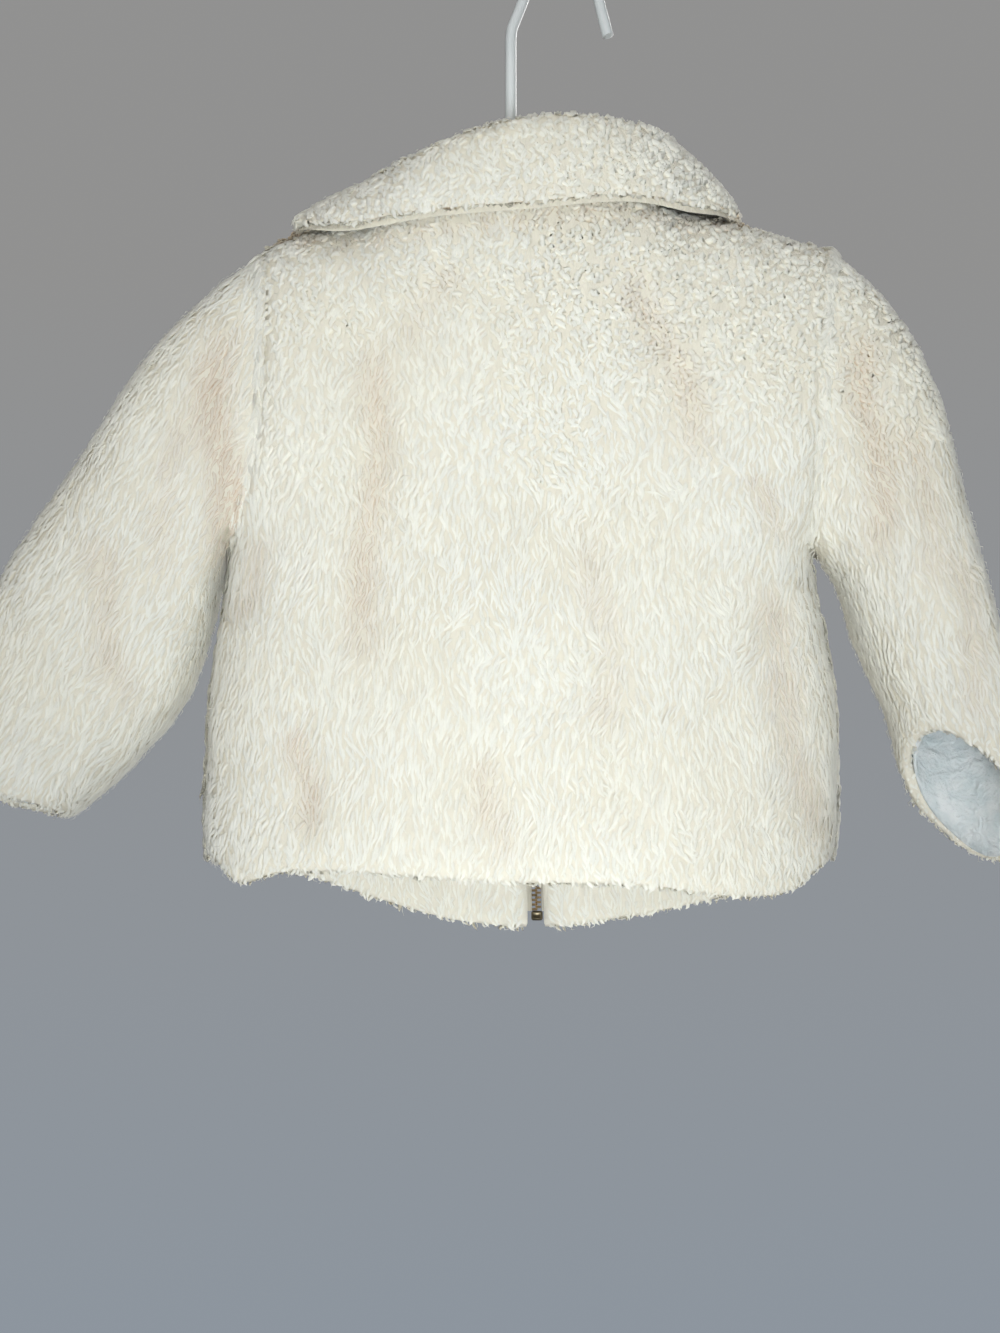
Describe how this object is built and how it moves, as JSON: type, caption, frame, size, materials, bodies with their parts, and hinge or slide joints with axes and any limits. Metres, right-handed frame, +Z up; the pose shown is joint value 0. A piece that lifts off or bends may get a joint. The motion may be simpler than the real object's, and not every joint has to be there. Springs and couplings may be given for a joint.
{
  "type": "faux fur coat on a clothes hanger",
  "caption": "Toddler's zip-up teddy-fur coat with a wide fold-down collar and long lined sleeves, zipped shut and hanging with its sleeves spread on a slim plastic hanger.",
  "frame": {"origin": "inner top of the hanger's hook, where it rests on the rail or wall hook that holds it up", "axes": "+Z up, +X across the shoulders towards the wearer's right sleeve, +Y out of the coat's zipped front, so the coat's back faces -Y"},
  "size_m": [0.5772, 0.1193, 0.5314],
  "materials": {
    "cream_fur": "curly high-pile faux fur, matt with a soft sheen",
    "pale_lining": "smooth short-napped lining",
    "zip_tape": "woven zip tape",
    "brass": "antique brass",
    "white_plastic": "smooth semi-gloss"
  },
  "bodies": {
    "coat": {"back": "cream_fur", "front_left": "cream_fur", "front_right": "cream_fur", "sleeve_left": "cream_fur", "sleeve_right": "cream_fur", "collar": "cream_fur", "under_collar": "cream_fur", "sleeve_lining_left": "pale_lining", "sleeve_lining_right": "pale_lining", "zip_tape_left": "zip_tape", "zip_tape_right": "zip_tape", "zip_teeth": "brass", "zip_box": "brass", "zip_slider": "brass", "hanger_hook": "white_plastic", "hanger_arms": "white_plastic"},
    "pull_tab": {"zip_pull": "brass"}
  },
  "joints": [
    {"name": "pull_tab_hinge", "type": "hinge", "parent": "coat", "child": "pull_tab", "pos_m": [-0.02134, 0.04172, -0.1942], "axis": [1, 0, 0], "range_deg": [0, 165]}
  ]
}
